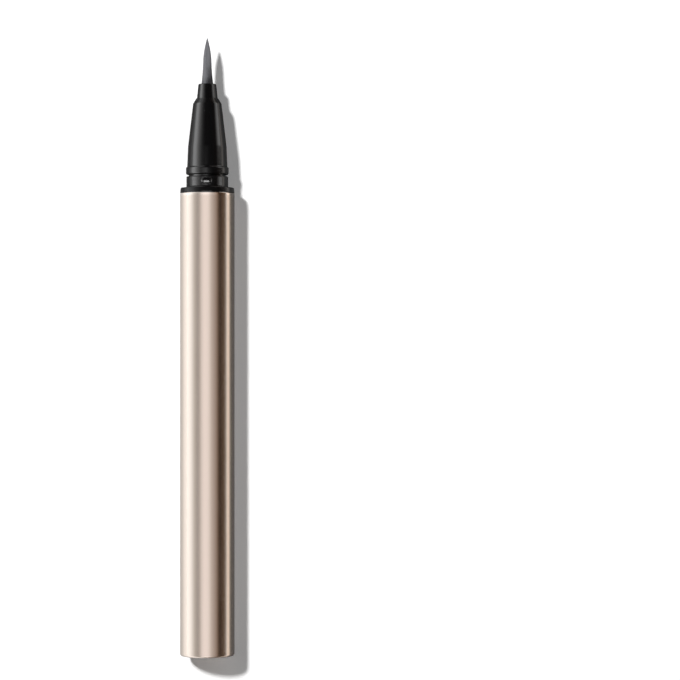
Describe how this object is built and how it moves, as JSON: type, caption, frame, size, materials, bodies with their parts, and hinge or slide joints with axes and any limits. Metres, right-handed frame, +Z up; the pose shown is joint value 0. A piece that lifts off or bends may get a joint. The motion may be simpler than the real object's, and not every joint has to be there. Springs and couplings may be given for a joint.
{
  "type": "eyeliner pen",
  "caption": "Slim round liquid eyeliner pen in satin champagne metal with a black tapered nose, fine brush tip, inner ink feed and a pull-off cap with a sprung inner cap.",
  "frame": {"origin": "centre of the barrel's flat tail face, on the pen's axis", "axes": "+Y along the pen's axis from the tail to the brush tip and the cap, +Z up from the surface that the pen lies on, +X to the right seen from above with the tip pointing away"},
  "size_m": [0.0116, 0.1831, 0.0116],
  "materials": {
    "barrel_metal": "satin champagne anodised",
    "cap_metal": "satin champagne anodised",
    "collar_black": "glossy moulded black",
    "nose_black": "glossy moulded black",
    "holder_black": "satin moulded black",
    "brush_fibre": "fine tapered nylon fibres",
    "fused_root": "heat-fused fibre ends",
    "core_fibre": "bonded polyester fibre, ink stained",
    "collector_plastic": "natural moulded plastic",
    "seal_rubber": "black rubber",
    "tank_plastic": "translucent extruded plastic",
    "plug_plastic": "natural moulded plastic",
    "ball_steel": "polished steel",
    "liner_black": "glossy moulded black",
    "inner_cap_plastic": "soft matt black plastic",
    "spring_steel": "drawn spring wire"
  },
  "bodies": {
    "pen": {"barrel_sleeve": "barrel_metal", "neck_collar": "collar_black", "front_cone": "nose_black", "nib_holder": "holder_black", "brush_tip": "brush_fibre", "brush_root": "fused_root", "relay_core": "core_fibre", "collector": "collector_plastic", "collector_seal": "seal_rubber", "ink_tank": "tank_plastic", "tail_plug": "plug_plastic"},
    "ball": {"stirring_ball": "ball_steel"},
    "cap": {"cap_sleeve": "cap_metal", "cap_liner": "liner_black", "cap_plug": "liner_black", "inner_cap_spring": "spring_steel"},
    "inner_cap": {"inner_cap": "inner_cap_plastic"}
  },
  "joints": [
    {"name": "cap_slide", "type": "slide", "parent": "pen", "child": "cap", "axis": [0, 1, 0], "range_m": [-0.04558, 0]},
    {"name": "inner_cap_slide", "type": "slide", "parent": "cap", "child": "inner_cap", "axis": [0, 1, 0], "range_m": [0, 0.001], "stiffness_N_per_m": 300, "springref_m": -0.001, "deforming": ["inner_cap_spring"]},
    {"name": "ball_slide", "type": "slide", "parent": "pen", "child": "ball", "axis": [0, 1, 0], "range_m": [-0.0222, 0.0543]}
  ]
}
